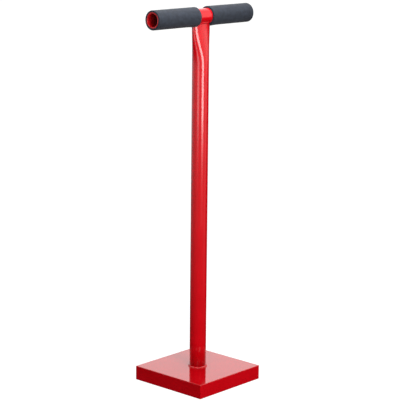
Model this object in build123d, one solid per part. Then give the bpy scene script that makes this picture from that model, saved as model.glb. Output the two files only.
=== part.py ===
from build123d import *

import math
import os

# Hand tamper: a square steel foot, a round shaft welded upright on it, and a T-handle with foam grips.
# Millimetres. Origin at the centre of the foot's underside, +Z up, X along the handle.

# ---- driving dimensions ----
PLATE_SIDE = 203.2
PLATE_THICKNESS = 33.0
PLATE_EDGE_RADIUS = 1.2

SHAFT_OUTER_DIAMETER = 38.1
TUBE_WALL = 2.5
OVAL_WIDTH = 54.0  # the shaft's pressed top, along the handle
OVAL_DEPTH = 22.0  # the shaft's pressed top, across the handle
OVAL_START_BELOW_AXIS = 107.0  # the pressing begins this far below the handle's axis
OVAL_FULL_BELOW_AXIS = 20.0  # from here up the section stays the same oval
OVAL_SECTIONS = 8

HANDLE_AXIS_HEIGHT = 843.0
HANDLE_LENGTH = 310.0
HANDLE_OUTER_DIAMETER = 34.9

GRIP_OUTER_DIAMETER = 43.6
GRIP_INNER_END = 20.0  # from the middle of the handle to each grip's inner end
GRIP_EDGE_RADIUS = 1.5
GRIP_BORE_CLEARANCE = 0.05
GRIP_RELIEF_CLEARANCE = 0.5  # round the shaft's shoulders, which reach under the foam

BASE_WELD_LEG = 3.4
BASE_WELD_CROWN = 0.5
HANDLE_WELD_RADIUS = 2.8
HANDLE_WELD_HALF_LENGTH = 16.0

# ---- sizes that follow ----
SHAFT_RADIUS = SHAFT_OUTER_DIAMETER / 2
HANDLE_RADIUS = HANDLE_OUTER_DIAMETER / 2
GRIP_RADIUS = GRIP_OUTER_DIAMETER / 2
OVAL_START_HEIGHT = HANDLE_AXIS_HEIGHT - OVAL_START_BELOW_AXIS
OVAL_FULL_HEIGHT = HANDLE_AXIS_HEIGHT - OVAL_FULL_BELOW_AXIS


def round_bar(inset):
    """The round stretch of the shaft as a solid bar, with its surface moved in by inset."""
    bar = extrude(Circle(SHAFT_RADIUS - inset), OVAL_START_HEIGHT - PLATE_THICKNESS)
    return Pos(0, 0, PLATE_THICKNESS) * bar


def changing_bar(inset):
    """The stretch that turns smoothly from round to oval."""
    sections = [Pos(0, 0, OVAL_START_HEIGHT) * Circle(SHAFT_RADIUS - inset)]
    for step in range(1, OVAL_SECTIONS):
        rise = step / (OVAL_SECTIONS - 1)
        pressed = rise * rise * (3 - 2 * rise)
        half_width = SHAFT_RADIUS + (OVAL_WIDTH / 2 - SHAFT_RADIUS) * pressed
        half_depth = SHAFT_RADIUS + (OVAL_DEPTH / 2 - SHAFT_RADIUS) * pressed
        height = OVAL_START_HEIGHT + (OVAL_FULL_HEIGHT - OVAL_START_HEIGHT) * rise
        sections.append(Pos(0, 0, height) * Ellipse(half_width - inset, half_depth - inset))
    return loft(sections)


def oval_bar(inset):
    """The oval stretch, up to the handle's axis."""
    oval = Ellipse(OVAL_WIDTH / 2 - inset, OVAL_DEPTH / 2 - inset)
    return Pos(0, 0, OVAL_FULL_HEIGHT) * extrude(oval, OVAL_FULL_BELOW_AXIS)


def shaft_bar(inset=0.0):
    """The whole shaft as a solid bar, with its surface moved in by inset."""
    return round_bar(inset) + changing_bar(inset) + oval_bar(inset)


def along_handle(radius, start, end):
    """A round bar on the handle's axis, from start to end along X."""
    profile = Plane.YZ.offset(start) * Circle(radius)
    bar = extrude(profile, end - start)
    return Pos(0, 0, HANDLE_AXIS_HEIGHT) * bar


# ---- pieces ----
def base_plate():
    """The square foot: a solid block with lightly broken edges."""
    low_centre = (Align.CENTER, Align.CENTER, Align.MIN)
    block = Box(PLATE_SIDE, PLATE_SIDE, PLATE_THICKNESS, align=low_centre)
    return fillet(block.edges(), PLATE_EDGE_RADIUS)


def shaft_tube():
    """The upright tube, pressed oval at its top and coped to the underside of the handle tube."""
    cope = along_handle(HANDLE_RADIUS, -OVAL_WIDTH, OVAL_WIDTH)
    return shaft_bar() - shaft_bar(TUBE_WALL) - cope


def handle_tube():
    """The cross tube, open right through."""
    half = HANDLE_LENGTH / 2
    tube = along_handle(HANDLE_RADIUS, -half, half)
    return tube - along_handle(HANDLE_RADIUS - TUBE_WALL, -half, half)


def grip(side):
    """A foam sleeve on one half of the handle, cut away where the shaft's shoulder is under it."""
    near, far = sorted((side * GRIP_INNER_END, side * HANDLE_LENGTH / 2))
    sleeve = along_handle(GRIP_RADIUS, near, far)
    sleeve = fillet(sleeve.edges().filter_by(GeomType.CIRCLE), GRIP_EDGE_RADIUS)
    sleeve -= along_handle(HANDLE_RADIUS + GRIP_BORE_CLEARANCE, near, far)
    spare = GRIP_RELIEF_CLEARANCE
    shoulder = extrude(Ellipse(OVAL_WIDTH / 2 + spare, OVAL_DEPTH / 2 + spare), GRIP_RADIUS)
    return sleeve - Pos(0, 0, HANDLE_AXIS_HEIGHT - GRIP_RADIUS - spare) * shoulder


def base_weld():
    """The fillet of weld metal round the shaft's foot, slightly crowned."""
    foot = (SHAFT_RADIUS, PLATE_THICKNESS)
    toe = (SHAFT_RADIUS + BASE_WELD_LEG, PLATE_THICKNESS)
    top = (SHAFT_RADIUS, PLATE_THICKNESS + BASE_WELD_LEG)
    outline = Line(foot, toe) + SagittaArc(toe, top, BASE_WELD_CROWN) + Line(top, foot)
    return revolve(Plane.XZ * make_face(outline), Axis.Z)


def seam_point(x, side):
    """A point of the seam where the shaft's front (side -1) or rear (+1) meets the handle tube."""
    y = OVAL_DEPTH / 2 * math.sqrt(1 - (2 * x / OVAL_WIDTH) ** 2)
    below_axis = math.sqrt(HANDLE_RADIUS**2 - y**2)
    return Vector(x, side * y, HANDLE_AXIS_HEIGHT - below_axis)


def handle_weld(side):
    """A round-ended weld bead along the seam between the shaft and the handle tube."""
    start = seam_point(-HANDLE_WELD_HALF_LENGTH, side)
    middle = seam_point(0, side)
    end = seam_point(HANDLE_WELD_HALF_LENGTH, side)
    seam = ThreePointArc(start, middle, end)
    section = Plane(origin=seam @ 0, z_dir=seam % 0) * Circle(HANDLE_WELD_RADIUS)
    bead = sweep(section, path=seam)
    bead += Pos(start) * Sphere(HANDLE_WELD_RADIUS)
    bead += Pos(end) * Sphere(HANDLE_WELD_RADIUS)
    return bead - oval_bar(0.0) - along_handle(HANDLE_RADIUS, -OVAL_WIDTH, OVAL_WIDTH)


pieces = {
    "base_plate": base_plate(),
    "shaft_tube": shaft_tube(),
    "handle_tube": handle_tube(),
    "left_grip": grip(-1),
    "right_grip": grip(1),
    "base_weld": base_weld(),
    "front_handle_weld": handle_weld(-1),
    "rear_handle_weld": handle_weld(1),
}

os.makedirs("parts", exist_ok=True)
for name, piece in pieces.items():
    export_step(piece, f"parts/{name}.step")
    print(name, len(piece.solids()), "solid,", round(piece.volume / 1000, 1), "cm3")
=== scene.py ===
import math

import bpy
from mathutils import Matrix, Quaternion, Vector, noise


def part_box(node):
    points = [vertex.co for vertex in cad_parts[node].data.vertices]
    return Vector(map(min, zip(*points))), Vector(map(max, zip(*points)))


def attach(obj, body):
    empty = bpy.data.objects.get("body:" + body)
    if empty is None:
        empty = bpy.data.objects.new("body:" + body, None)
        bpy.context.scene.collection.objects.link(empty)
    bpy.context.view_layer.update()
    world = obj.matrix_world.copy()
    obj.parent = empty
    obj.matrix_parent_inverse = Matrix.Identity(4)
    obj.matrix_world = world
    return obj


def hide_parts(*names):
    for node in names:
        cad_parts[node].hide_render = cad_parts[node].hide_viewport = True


# A hand tamper's looks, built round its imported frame: gloss red powder-coated steel and two foam grips.
# Metres. +Z up, X along the handle, and the foot stands on Z = 0.

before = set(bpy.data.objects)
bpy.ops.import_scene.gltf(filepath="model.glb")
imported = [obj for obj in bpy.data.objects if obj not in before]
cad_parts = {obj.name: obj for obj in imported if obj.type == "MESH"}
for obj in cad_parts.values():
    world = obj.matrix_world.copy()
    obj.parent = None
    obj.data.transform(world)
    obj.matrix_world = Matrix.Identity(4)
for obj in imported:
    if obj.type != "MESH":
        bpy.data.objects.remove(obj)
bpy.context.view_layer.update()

MM = 0.001
FULL_TURN = 2 * math.pi

# ---- sizes read from the frame ----
shaft_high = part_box("shaft_tube")[1]
handle_low, handle_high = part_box("handle_tube")
grip_low, grip_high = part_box("right_grip")
foot_weld_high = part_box("base_weld")[1]

PLATE_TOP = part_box("base_plate")[1].z
SHAFT_RADIUS = shaft_high.y
OVAL_HALF_WIDTH = shaft_high.x
AXIS_HEIGHT = (handle_low.z + handle_high.z) / 2
HANDLE_RADIUS = handle_high.y
HANDLE_END = handle_high.x
GRIP_RADIUS = grip_high.y
GRIP_INNER_END = grip_low.x
FOOT_WELD_RADIUS = foot_weld_high.x
FOOT_WELD_TOP = foot_weld_high.z

# ---- sizes that the boxes don't show, as in the part's own design ----
OVAL_HALF_DEPTH = 11 * MM
OVAL_START = AXIS_HEIGHT - 107 * MM
OVAL_FULL = AXIS_HEIGHT - 20 * MM
TUBE_WALL = 2.5 * MM


# ---- mesh helpers ----
def add_object(name, vertices, faces):
    """A smooth-shaded mesh that rides with the part's one body."""
    mesh = bpy.data.meshes.new(name)
    mesh.from_pydata([tuple(v) for v in vertices], [], faces)
    mesh.update()
    mesh.shade_smooth()
    piece = bpy.data.objects.new(name, mesh)
    bpy.context.scene.collection.objects.link(piece)
    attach(piece, "root")
    return piece


def closed_skin(name, rings):
    """A solid whose skin wraps both ways: round each ring, and from the last ring back to the first."""
    count, size = len(rings), len(rings[0])
    vertices = [point for ring in rings for point in ring]
    faces = []
    for i in range(count):
        j = (i + 1) % count
        for k in range(size):
            m = (k + 1) % size
            faces.append((i * size + k, i * size + m, j * size + m, j * size + k))
    return add_object(name, vertices, faces)


def capped_skin(name, rings):
    """A solid bar of rings, with its two ends closed."""
    count, size = len(rings), len(rings[0])
    vertices = [point for ring in rings for point in ring]
    faces = [tuple(range(size)), tuple(reversed(range((count - 1) * size, count * size)))]
    for i in range(count - 1):
        for k in range(size):
            m = (k + 1) % size
            faces.append(((i + 1) * size + k, (i + 1) * size + m, i * size + m, i * size + k))
    return add_object(name, vertices, faces)


def smoothstep(low, high, value):
    """Rises smoothly from 0 at low to 1 at high."""
    share = min(1.0, max(0.0, (value - low) / (high - low)))
    return share * share * (3 - 2 * share)


def corner(centre, radius, start, end, steps=6):
    """Points of an arc in a profile's plane, by angle in degrees."""
    points = []
    for i in range(steps + 1):
        angle = math.radians(start + (end - start) * i / steps)
        points.append((centre[0] + radius * math.cos(angle), centre[1] + radius * math.sin(angle)))
    return points


def stretch(start, end, steps):
    """Evenly spaced points between two profile points, leaving both ends out."""
    points = []
    for i in range(1, steps):
        points.append(tuple(a + (b - a) * i / steps for a, b in zip(start, end)))
    return points


# ---- the shaft ----
def oval_axes(height, inset):
    """The half width and half depth of the shaft's section at this height, moved in by inset."""
    pressed = smoothstep(OVAL_START, OVAL_FULL, height)
    half_width = SHAFT_RADIUS + (OVAL_HALF_WIDTH - SHAFT_RADIUS) * pressed
    half_depth = SHAFT_RADIUS + (OVAL_HALF_DEPTH - SHAFT_RADIUS) * pressed
    return half_width - inset, half_depth - inset


def cope_height(y):
    """Where the handle tube's underside is, at this distance from the middle."""
    return AXIS_HEIGHT - math.sqrt(HANDLE_RADIUS**2 - y**2)


def shaft_ring(height, inset, coped=0.0):
    """A section of the tube. Coped goes from 0 for a level section to 1 for the seam under the handle."""
    ring, sides = [], 144
    half_width, half_depth = oval_axes(height, inset)
    for k in range(sides):
        angle = FULL_TURN * k / sides
        x, y = half_width * math.cos(angle), half_depth * math.sin(angle)
        z = height + (cope_height(y) - height) * coped if coped else height
        ring.append((x, y, z))
    return ring


def shaft_skin(inset):
    """The tube's sections from the plate up to the coped seam."""
    round_steps, changing_steps, cope_steps = 12, 48, 4
    skin = []
    for i in range(round_steps):
        skin.append(shaft_ring(PLATE_TOP + (OVAL_START - PLATE_TOP) * i / round_steps, inset))
    for i in range(changing_steps):
        skin.append(shaft_ring(OVAL_START + (OVAL_FULL - OVAL_START) * i / changing_steps, inset))
    for i in range(cope_steps + 1):
        skin.append(shaft_ring(OVAL_FULL, inset, i / cope_steps))
    return skin


def build_shaft():
    """The tube, from the plate up to the coped seam under the handle."""
    piece = closed_skin("shaft", shaft_skin(0.0) + shaft_skin(TUBE_WALL)[::-1])
    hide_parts("shaft_tube")
    return piece


# ---- the handle's cross tube ----
def lathe_x(name, profile, sides=128):
    """A closed profile of (x, radius) turned round the handle's axis."""
    rings = []
    for x, radius in profile:
        ring = []
        for k in range(sides):
            angle = FULL_TURN * k / sides
            ring.append((x, radius * math.cos(angle), AXIS_HEIGHT + radius * math.sin(angle)))
        rings.append(ring)
    return closed_skin(name, rings)


def build_handle():
    """The open tube, with the cut ends' edges broken and softened by the paint."""
    edge, wall_steps = 0.7 * MM, 24
    inner = HANDLE_RADIUS - TUBE_WALL
    end = HANDLE_END - edge
    right_outside = corner((end, HANDLE_RADIUS - edge), edge, 90, 0)
    right_inside = corner((end, inner + edge), edge, 0, -90)
    left_inside = corner((-end, inner + edge), edge, 270, 180)
    left_outside = corner((-end, HANDLE_RADIUS - edge), edge, 180, 90)
    profile = right_outside + right_inside
    profile += stretch(right_inside[-1], left_inside[0], wall_steps)
    profile += left_inside + left_outside
    profile += stretch(left_outside[-1], right_outside[0], wall_steps)
    piece = lathe_x("handle_cross_tube", profile)
    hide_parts("handle_tube")
    return piece


# ---- welds ----
def build_foot_weld():
    """The fillet round the shaft's foot: a crowned bead with the ripples of a hand-run weld."""
    sides, steps = 288, 10
    ripples, ripple_height, ripple_drift = 30, 0.34 * MM, 1.2
    crown, root = 0.95 * MM, 0.4 * MM  # the root reaches this far into the shaft and the plate
    smallest_leg, leg_change, leg_noise = 0.9, 0.1, 2.5
    diagonal = math.sqrt(0.5)
    leg_out, leg_up = FOOT_WELD_RADIUS - SHAFT_RADIUS, FOOT_WELD_TOP - PLATE_TOP
    columns = []
    for k in range(sides):
        angle = FULL_TURN * k / sides
        wave = math.cos(ripples * angle + ripple_drift * math.sin(3 * angle))
        place = Vector((math.cos(angle), math.sin(angle), 0.7)) * leg_noise
        uneven = smallest_leg + leg_change * noise.noise(place)
        column = [(SHAFT_RADIUS - root, PLATE_TOP - root)]
        for i in range(steps + 1):
            share = i / steps
            lift = 4 * share * (1 - share)
            bulge = (crown + ripple_height * wave) * lift
            out = leg_out * uneven * (1 - share) + bulge * diagonal
            up = leg_up * uneven * share + bulge * diagonal
            column.append((SHAFT_RADIUS + out, PLATE_TOP + up))
        column.append((SHAFT_RADIUS - root, PLATE_TOP + leg_up * uneven))
        columns.append([(r * math.cos(angle), r * math.sin(angle), z) for r, z in column])
    rings = [list(ring) for ring in zip(*columns)]
    piece = closed_skin("foot_weld", rings)
    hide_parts("base_weld")
    return piece


def seam_point(x, side):
    """A point of the seam where the shaft's front (side -1) or rear (+1) meets the handle tube."""
    y = OVAL_HALF_DEPTH * math.sqrt(1 - (x / OVAL_HALF_WIDTH) ** 2)
    return Vector((x, side * y, cope_height(y)))


def build_handle_weld(name, node, side):
    """A rippled bead along the seam between the shaft and the handle, fading out at both ends."""
    steps, sides = 120, 20
    bead_width, bead_height = 2.7 * MM, 1.7 * MM
    ripples, ripple_share, ripple_drift = 15, 0.05, 0.8
    half_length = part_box(node)[1].x - 0.3 * MM
    little = 0.1 * MM
    rings = []
    for i in range(steps + 1):
        share = i / steps
        x = half_length * (2 * share - 1)
        centre = seam_point(x, side)
        along = (seam_point(x + little, side) - seam_point(x - little, side)).normalized()
        out = Vector((0, side * 0.9, -0.45)).normalized()
        across = along.cross(out).normalized()
        out = across.cross(along).normalized()
        end_fade = math.sqrt(max(0.02, 1 - (2 * share - 1) ** 8))
        drift = ripple_drift * math.sin(9 * share)
        wave = 1 + ripple_share * math.cos(ripples * FULL_TURN * share + drift)
        width, height = bead_width * end_fade * wave, bead_height * end_fade * wave
        ring = []
        for k in range(sides):
            angle = FULL_TURN * k / sides
            ring.append(centre + across * width * math.cos(angle) + out * height * math.sin(angle))
        rings.append(ring)
    piece = capped_skin(name, rings)
    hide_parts(node)
    return piece


# ---- foam grips ----
def grip_end(angle, radius):
    """How far from the middle the foam starts at this angle: it is notched over the shaft's shoulder."""
    y = radius * math.cos(angle)
    clearance = 0.4 * MM
    half_width, half_depth = OVAL_HALF_WIDTH + clearance, OVAL_HALF_DEPTH + clearance
    if math.sin(angle) > 0 or abs(y) >= half_depth:
        return GRIP_INNER_END
    shoulder = half_width * math.sqrt(1 - (y / half_depth) ** 2)
    return max(GRIP_INNER_END, shoulder)


def build_grip(name, node, side):
    """A foam sleeve: rounded ends, a soft uneven skin, and a swelling where the shoulder pushes it out."""
    edge, bore = 1.5 * MM, HANDLE_RADIUS + 0.05 * MM
    sides, long_steps, edge_steps = 160, 72, 7
    swell_height, swell_fade = 1.1 * MM, (20 * MM, 50 * MM)
    unevenness, noise_along, noise_around, noise_apart = 0.15 * MM, 55, 1.6, 9
    length = HANDLE_END - GRIP_INNER_END
    profile = corner((edge, GRIP_RADIUS - edge), edge, 180, 90, edge_steps)
    profile += stretch((edge, GRIP_RADIUS), (length - edge, GRIP_RADIUS), long_steps)
    profile += corner((length - edge, GRIP_RADIUS - edge), edge, 90, 0, edge_steps)
    profile += stretch((length, GRIP_RADIUS - edge), (length, bore + edge / 3), 3)
    profile += corner((length - edge / 3, bore + edge / 3), edge / 3, 0, -90, 3)
    profile += stretch((length - edge / 3, bore), (edge / 3, bore), 12)
    profile += corner((edge / 3, bore + edge / 3), edge / 3, 270, 180, 3)
    profile += stretch((0, bore + edge / 3), (0, GRIP_RADIUS - edge), 3)
    rings = []
    for along, radius in profile:
        ring = []
        for k in range(sides):
            angle = FULL_TURN * k / sides
            start = grip_end(angle, radius)
            x = start + along * (HANDLE_END - start) / length
            outer_share = smoothstep(bore + edge / 2, GRIP_RADIUS - edge / 2, radius)
            below = max(0.0, -math.sin(angle))
            swell = swell_height * below**2 * (1 - smoothstep(*swell_fade, x)) * outer_share
            across = math.cos(angle) * noise_around
            upward = math.sin(angle) * noise_around + side * noise_apart
            place = Vector((side * x * noise_along, across, upward))
            uneven = unevenness * (noise.noise(place) - 1) * outer_share  # inward only
            r = radius + swell + uneven
            ring.append((side * x, r * math.cos(angle), AXIS_HEIGHT + r * math.sin(angle)))
        rings.append(ring)
    if side < 0:
        rings.reverse()
    piece = closed_skin(name, rings)
    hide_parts(node)
    return piece


# ---- node helpers ----
NOISE_SPAN = (0.3, 0.7)  # most of a noise texture's values lie here


def new_material(name):
    material = bpy.data.materials.new(name)
    material.use_nodes = True
    nodes, links = material.node_tree.nodes, material.node_tree.links
    return material, nodes, links, nodes["Principled BSDF"]


def object_coordinates(nodes):
    return nodes.new("ShaderNodeTexCoord").outputs["Object"]


def noise_texture(nodes, links, scale, detail, coordinates):
    texture = nodes.new("ShaderNodeTexNoise")
    texture.inputs["Scale"].default_value = scale
    texture.inputs["Detail"].default_value = detail
    links.new(coordinates, texture.inputs["Vector"])
    return texture.outputs["Fac"]


def colour_ramp(nodes, links, factor, low, high, span=NOISE_SPAN):
    """Goes from the low to the high colour as the factor crosses the span."""
    ramp = nodes.new("ShaderNodeValToRGB")
    for element, position, colour in zip(ramp.color_ramp.elements, span, (low, high)):
        element.position = position
        element.color = (*colour, 1)
    links.new(factor, ramp.inputs["Fac"])
    return ramp.outputs["Color"]


def map_range(nodes, links, value, from_range, to_range, interpolation="LINEAR"):
    mapped = nodes.new("ShaderNodeMapRange")
    mapped.interpolation_type = interpolation
    mapped.inputs["From Min"].default_value, mapped.inputs["From Max"].default_value = from_range
    mapped.inputs["To Min"].default_value, mapped.inputs["To Max"].default_value = to_range
    links.new(value, mapped.inputs["Value"])
    return mapped.outputs["Result"]


def smooth_map(nodes, links, value, from_range, to_range):
    return map_range(nodes, links, value, from_range, to_range, "SMOOTHSTEP")


def calculate(nodes, links, operation, *values):
    """A math node. Each value is a socket or a plain number."""
    node = nodes.new("ShaderNodeMath")
    node.operation = operation
    for socket, value in zip(node.inputs, values):
        if isinstance(value, (int, float)):
            socket.default_value = value
        else:
            links.new(value, socket)
    return node.outputs["Value"]


def component(nodes, links, vector, axis):
    split = nodes.new("ShaderNodeSeparateXYZ")
    links.new(vector, split.inputs["Vector"])
    return split.outputs[axis]


def bump(nodes, links, height, distance, strength=1.0, under=None):
    node = nodes.new("ShaderNodeBump")
    node.inputs["Distance"].default_value = distance
    node.inputs["Strength"].default_value = strength
    links.new(height, node.inputs["Height"])
    if under is not None:
        links.new(under, node.inputs["Normal"])
    return node.outputs["Normal"]


# ---- materials ----
RED_DEEP, RED_BRIGHT = (0.38, 0.0010, 0.0036), (0.42, 0.0016, 0.0052)
# dark steel inside the handle tube, made darker as painted shade for the deep bore
BORE_SHADED_STEEL = (0.008, 0.0010, 0.0015)
FOAM_DARK, FOAM_LIGHT = (0.0073, 0.0096, 0.0150), (0.0175, 0.0222, 0.0325)

# roughness from and to, and the depth of the orange peel
TUBE_COAT = ((0.05, 0.07), 3e-6)
PLATE_COAT = ((0.03, 0.05), 2.5e-6)
WELD_COAT = ((0.09, 0.15), 20e-6)
BORE_ROUGHNESS = (0.3, 0.45)
FOAM_ROUGHNESS = (0.82, 0.95)
# deeper in than this the bore is dark: partly bare steel, partly painted shade
BORE_FADE = 45 * MM  # the coat inside the handle reaches this far in

# the scales of the textures, in repeats per metre
TINT_SCALE, GLOSS_SCALE, PEEL_SCALE = 22, 90, 420
BORE_PATCH_SCALE = 60
MOTTLE_SCALE, PORE_SCALE = 130, 1500


def red_powder_coat(name, coat):
    """Gloss red powder coat: a slightly uneven colour over a faint orange peel."""
    roughness, peel = coat
    material, nodes, links, shader = new_material(name)
    place = object_coordinates(nodes)
    broad = noise_texture(nodes, links, TINT_SCALE, 3, place)
    links.new(colour_ramp(nodes, links, broad, RED_DEEP, RED_BRIGHT), shader.inputs["Base Color"])
    fine = noise_texture(nodes, links, GLOSS_SCALE, 2, place)
    links.new(map_range(nodes, links, fine, NOISE_SPAN, roughness), shader.inputs["Roughness"])
    cells = noise_texture(nodes, links, PEEL_SCALE, 2, place)
    links.new(bump(nodes, links, cells, peel), shader.inputs["Normal"])
    shader.inputs["IOR"].default_value = 1.45
    return material


def bore_paint_and_shade():
    """The coat inside the handle: thin over bare dark steel and soon gone away from the ends; the dark
    further in is also painted shade for the deep bore.
    """
    material, nodes, links, shader = new_material("red_powder_coat_thin_shaded")
    place = object_coordinates(nodes)
    from_middle = calculate(nodes, links, "ABSOLUTE", component(nodes, links, place, "X"))
    fading = (HANDLE_END - BORE_FADE, HANDLE_END)
    # painted shade: darker deeper into the bore, away from the open ends
    toward_mouth = smooth_map(nodes, links, from_middle, fading, (0.0, 1.0))
    red = colour_ramp(nodes, links, toward_mouth, BORE_SHADED_STEEL, RED_DEEP, (0.2, 1.0))
    links.new(red, shader.inputs["Base Color"])
    patches = noise_texture(nodes, links, BORE_PATCH_SCALE, 3, place)
    patchy = map_range(nodes, links, patches, NOISE_SPAN, BORE_ROUGHNESS)
    links.new(patchy, shader.inputs["Roughness"])
    return material


def foam():
    """Closed-cell foam: matte blue-grey skin with fine pores and soft mottling."""
    material, nodes, links, shader = new_material("grey_foam")
    place = object_coordinates(nodes)
    mottle = noise_texture(nodes, links, MOTTLE_SCALE, 5, place)
    colour = colour_ramp(nodes, links, mottle, FOAM_DARK, FOAM_LIGHT)
    pores = nodes.new("ShaderNodeTexVoronoi")
    pores.inputs["Scale"].default_value = PORE_SCALE
    links.new(place, pores.inputs["Vector"])
    links.new(colour, shader.inputs["Base Color"])
    roughness = map_range(nodes, links, mottle, NOISE_SPAN, FOAM_ROUGHNESS)
    links.new(roughness, shader.inputs["Roughness"])
    soft = bump(nodes, links, mottle, 120e-6, 0.7)
    pitted = bump(nodes, links, pores.outputs["Distance"], 90e-6, 0.6, soft)
    links.new(pitted, shader.inputs["Normal"])
    shader.inputs["Specular IOR Level"].default_value = 0.22
    shader.inputs["Sheen Weight"].default_value = 0.06
    shader.inputs["Sheen Roughness"].default_value = 0.5
    return material


def paint(piece, material):
    piece.data.materials.clear()
    piece.data.materials.append(material)


def paint_bore(piece, material):
    """Gives the tube's inner wall its own material."""
    piece.data.materials.append(material)
    wall_middle = HANDLE_RADIUS - TUBE_WALL / 2
    for face in piece.data.polygons:
        if math.hypot(face.center.y, face.center.z - AXIS_HEIGHT) < wall_middle:
            face.material_index = 1


# ---- the stage ----
CAMERA_AZIMUTH, CAMERA_ELEVATION, CAMERA_ROLL = -47.73, 11.90, 0.56
CAMERA_DISTANCE, CAMERA_LENS, SENSOR = 3.467, 137.2, 36.0
TARGET_HEIGHT, TARGET_SIDEWAYS = 0.4265, 0.0018

FLOOR_REACH, FLOOR_SIDES = 40.0, 96
FLOOR_GREY, FLOOR_GLOW = 0.2, 0.92

# the studio's brightness, and where one level turns into the next
FRONT_LEVEL, BACKDROP_LEVEL, GROUND_LEVEL, CEILING_LEVEL = 0.86, 1.8, 0.01, 0.25
BACKDROP_TURN = 22  # degrees that the backdrop is turned from straight behind the object
BACKDROP_SPAN = (-0.6, 0.8)
BACKDROP_FOOT, BACKDROP_FOOT_SPAN = 0.24, (0.35, 0.9)
GROUND_SPAN, CEILING_SPAN = (-0.32, -0.06), (0.35, 0.75)

# name, azimuth, elevation, distance, height of the point it is measured from, height it is aimed at,
# side and watts
SOFTBOXES = (
    ("overhead_softbox", -20, 77, 0.34, AXIS_HEIGHT, AXIS_HEIGHT, 0.4, 4.2),
    ("key_softbox", -18, 0, 1.4, 1.15, 0.60, 0.7, 11.0),
    ("shaft_beam", -66, 0, 1.4, 1.15, 0.52, 0.5, 0.35),
)
BEAM_SPREAD = 45

# name, turn from the camera's azimuth, and watts
STRIPS = (("right_strip", 34, 27.0), ("left_strip", -27, 6.8))
STRIP_LOW, STRIP_HIGH, STRIP_DISTANCE, STRIP_WIDTH = 0.05, 0.80, 1.4, 1.00
STRIP_FADE_TOP, STRIP_FADE_POWER, STRIP_FOOT_LEVEL = 0.48, 4.0, 0.03
STRIP_CORE, STRIP_HALO_LEVEL = (0.40, 0.85), 0.16


def towards(azimuth, elevation=0.0):
    """The direction from the object to this azimuth and elevation, in degrees."""
    a, e = math.radians(azimuth), math.radians(elevation)
    return Vector((math.sin(a) * math.cos(e), -math.cos(a) * math.cos(e), math.sin(e)))


def build_floor():
    """A pale floor that ends in a pale wall far away, both lit so that they stay white. The object's
    paint reflects the studio, not the floor."""
    turns = [FULL_TURN * k / FLOOR_SIDES for k in range(FLOOR_SIDES)]
    edge = [(FLOOR_REACH * math.cos(turn), FLOOR_REACH * math.sin(turn), 0) for turn in turns]
    top = [(x, y, FLOOR_REACH) for x, y, _ in edge]
    faces = [tuple(range(FLOOR_SIDES))]
    for k in range(FLOOR_SIDES):
        m = (k + 1) % FLOOR_SIDES
        faces.append((k, m, FLOOR_SIDES + m, FLOOR_SIDES + k))
    mesh = bpy.data.meshes.new("floor")
    mesh.from_pydata(edge + top, [], faces)
    floor = bpy.data.objects.new("floor", mesh)
    bpy.context.scene.collection.objects.link(floor)
    material, _, _, shader = new_material("pale_floor")
    shader.inputs["Base Color"].default_value = (FLOOR_GREY, FLOOR_GREY, FLOOR_GREY, 1)
    shader.inputs["Roughness"].default_value = 0.9
    shader.inputs["Specular IOR Level"].default_value = 0.0
    shader.inputs["Emission Color"].default_value = (1, 1, 1, 1)
    shader.inputs["Emission Strength"].default_value = FLOOR_GLOW
    mesh.materials.append(material)
    floor.visible_diffuse = False
    floor.visible_glossy = False
    floor.visible_shadow = False


def build_world():
    """The studio round the object: a bright backdrop behind and to the right that starts above eye
    level, dimmer walls elsewhere, and darkness towards the ground."""
    world = bpy.data.worlds.new("studio")
    bpy.context.scene.world = world
    world.use_nodes = True
    nodes, links = world.node_tree.nodes, world.node_tree.links
    direction = nodes.new("ShaderNodeTexCoord").outputs["Generated"]
    facing = nodes.new("ShaderNodeVectorMath")
    facing.operation = "DOT_PRODUCT"
    links.new(direction, facing.inputs[0])
    facing.inputs[1].default_value = -towards(CAMERA_AZIMUTH - BACKDROP_TURN)
    behind = facing.outputs["Value"]
    wall = smooth_map(nodes, links, behind, BACKDROP_SPAN, (FRONT_LEVEL, BACKDROP_LEVEL))
    foot = smooth_map(nodes, links, behind, BACKDROP_FOOT_SPAN, (0.0, BACKDROP_FOOT))
    rise = component(nodes, links, direction, "Z")
    height = calculate(nodes, links, "SUBTRACT", rise, foot)
    above_ground = smooth_map(nodes, links, height, GROUND_SPAN, (GROUND_LEVEL, 1.0))
    below_ceiling = smooth_map(nodes, links, height, CEILING_SPAN, (1.0, CEILING_LEVEL))
    lit = calculate(nodes, links, "MULTIPLY", above_ground, below_ceiling)
    strength = calculate(nodes, links, "MULTIPLY", wall, lit)
    nodes["Background"].inputs["Color"].default_value = (1, 1, 1, 1)
    links.new(strength, nodes["Background"].inputs["Strength"])


def softbox(name, place, target, size, watts):
    data = bpy.data.lights.new(name, "AREA")
    data.shape = "RECTANGLE"
    data.size, data.size_y = size
    data.energy = watts
    light = bpy.data.objects.new(name, data)
    light.location = place
    light.rotation_mode = "QUATERNION"
    light.rotation_quaternion = (place - target).to_track_quat("Z", "Y")
    light.visible_camera = False
    bpy.context.scene.collection.objects.link(light)
    return data


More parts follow.
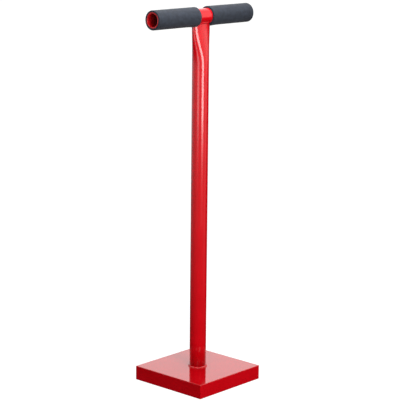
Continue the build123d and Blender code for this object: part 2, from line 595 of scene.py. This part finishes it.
def shape_strip(light_data):
    """A bright core with a dim halo at its sides, fading towards the lower end."""
    light_data.use_nodes = True
    nodes, links = light_data.node_tree.nodes, light_data.node_tree.links
    place = nodes.new("ShaderNodeNewGeometry").outputs["Parametric"]
    height = component(nodes, links, place, "Y")
    rise = map_range(nodes, links, height, (0.0, STRIP_FADE_TOP), (0.0, 1.0))
    steep = calculate(nodes, links, "POWER", rise, STRIP_FADE_POWER)
    fade = map_range(nodes, links, steep, (0.0, 1.0), (STRIP_FOOT_LEVEL, 1.0))
    across = component(nodes, links, place, "X")
    off_centre = map_range(nodes, links, across, (0.0, 1.0), (-1.0, 1.0))
    side = calculate(nodes, links, "ABSOLUTE", off_centre)
    core = smooth_map(nodes, links, side, STRIP_CORE, (1.0, 0.0))
    halo = smooth_map(nodes, links, side, (0.0, 1.0), (STRIP_HALO_LEVEL, 0.0))
    glow = calculate(nodes, links, "ADD", core, halo)
    strength = calculate(nodes, links, "MULTIPLY", glow, fade)
    links.new(strength, nodes["Emission"].inputs["Strength"])


def build_lights():
    """A softbox over the handle, a key softbox and a narrow beam on the shaft, and two upright strips."""
    for name, azimuth, elevation, distance, pivot, aim, side, watts in SOFTBOXES:
        place = Vector((0, 0, pivot)) + towards(azimuth, elevation) * distance
        data = softbox(name, place, Vector((0, 0, aim)), (side, side), watts)
        if name == "shaft_beam":
            data.spread = math.radians(BEAM_SPREAD)
    middle = Vector((0, 0, (STRIP_LOW + STRIP_HIGH) / 2))
    for name, turn, watts in STRIPS:
        place = middle + towards(CAMERA_AZIMUTH + turn) * STRIP_DISTANCE
        shape_strip(softbox(name, place, middle, (STRIP_WIDTH, STRIP_HIGH - STRIP_LOW), watts))


def build_camera():
    """The camera, at the photograph's viewing angle."""
    data = bpy.data.cameras.new("camera")
    data.sensor_width = SENSOR
    data.lens = CAMERA_LENS
    camera = bpy.data.objects.new("camera", data)
    back = towards(CAMERA_AZIMUTH, CAMERA_ELEVATION)
    turned = (-back).to_track_quat("-Z", "Y")
    right = turned @ Vector((1, 0, 0))
    target = Vector((0, 0, TARGET_HEIGHT)) + right * TARGET_SIDEWAYS
    camera.location = target + back * CAMERA_DISTANCE
    camera.rotation_mode = "QUATERNION"
    camera.rotation_quaternion = turned @ Quaternion((0, 0, 1), math.radians(CAMERA_ROLL))
    bpy.context.scene.collection.objects.link(camera)
    bpy.context.scene.camera = camera


# ---- the scene ----
tube_red = red_powder_coat("red_powder_coat", TUBE_COAT)
weld_red = red_powder_coat("red_powder_coat_weld", WELD_COAT)
plate_red = red_powder_coat("red_powder_coat_plate", PLATE_COAT)
grip_foam = foam()

paint(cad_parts["base_plate"], plate_red)
paint(build_shaft(), tube_red)
handle = build_handle()
paint(handle, tube_red)
paint_bore(handle, bore_paint_and_shade())
paint(build_foot_weld(), weld_red)
paint(build_handle_weld("front_seam_weld", "front_handle_weld", -1), weld_red)
paint(build_handle_weld("rear_seam_weld", "rear_handle_weld", 1), weld_red)
paint(build_grip("left_foam_grip", "left_grip", -1), grip_foam)
paint(build_grip("right_foam_grip", "right_grip", 1), grip_foam)

build_floor()
build_world()
build_lights()
build_camera()
bpy.context.scene.view_settings.view_transform = "Standard"
